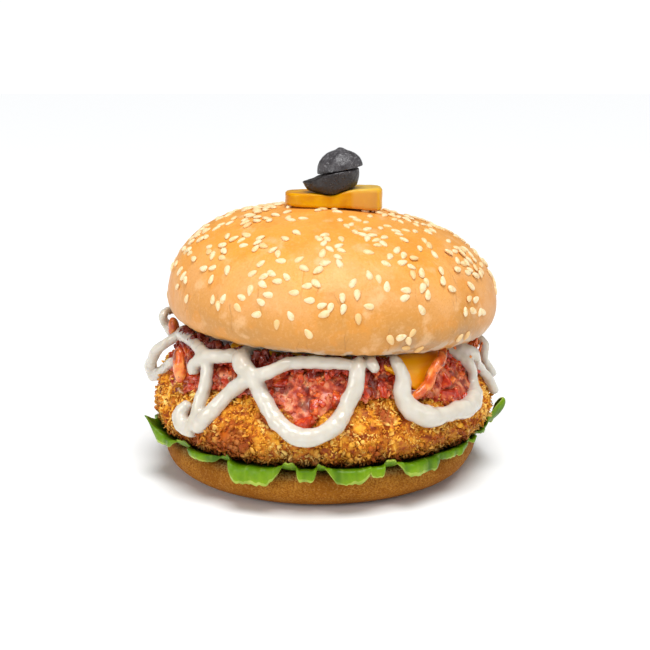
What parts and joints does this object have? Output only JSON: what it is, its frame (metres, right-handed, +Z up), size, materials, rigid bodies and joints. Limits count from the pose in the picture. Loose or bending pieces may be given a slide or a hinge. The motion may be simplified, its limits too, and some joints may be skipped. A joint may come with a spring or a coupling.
{
  "type": "chicken burger",
  "caption": "Breaded chicken burger in a sesame bun with lettuce, tomato relish, cheese and mayonnaise, topped with a yellow pepper slice and a black olive.",
  "frame": {"origin": "centre of the flat underside that the burger rests on", "axes": "+Z up through the stack; -Y is the front that the picture shows; +X is the burger's right in that view"},
  "size_m": [0.121, 0.1177, 0.1058],
  "materials": {
    "heel_crust": "dry toasted crust",
    "leaf_green": "waxy leaf",
    "breading": "crisp fried crumb",
    "tomato": "wet",
    "cheddar": "soft sheen",
    "sauce": "glossy",
    "crown_crust": "egg-washed crust",
    "pepper_yellow": "wet",
    "olive_black": "oily"
  },
  "bodies": {
    "root": {"bottom_bun": "heel_crust", "lettuce_leaf": "leaf_green", "chicken_patty": "breading", "tomato_relish": "tomato", "cheese_slice": "cheddar", "mayonnaise": "sauce", "top_bun": "crown_crust", "pepper_slice": "pepper_yellow", "olive_base": "olive_black", "olive_cap": "olive_black"}
  },
  "joints": []
}
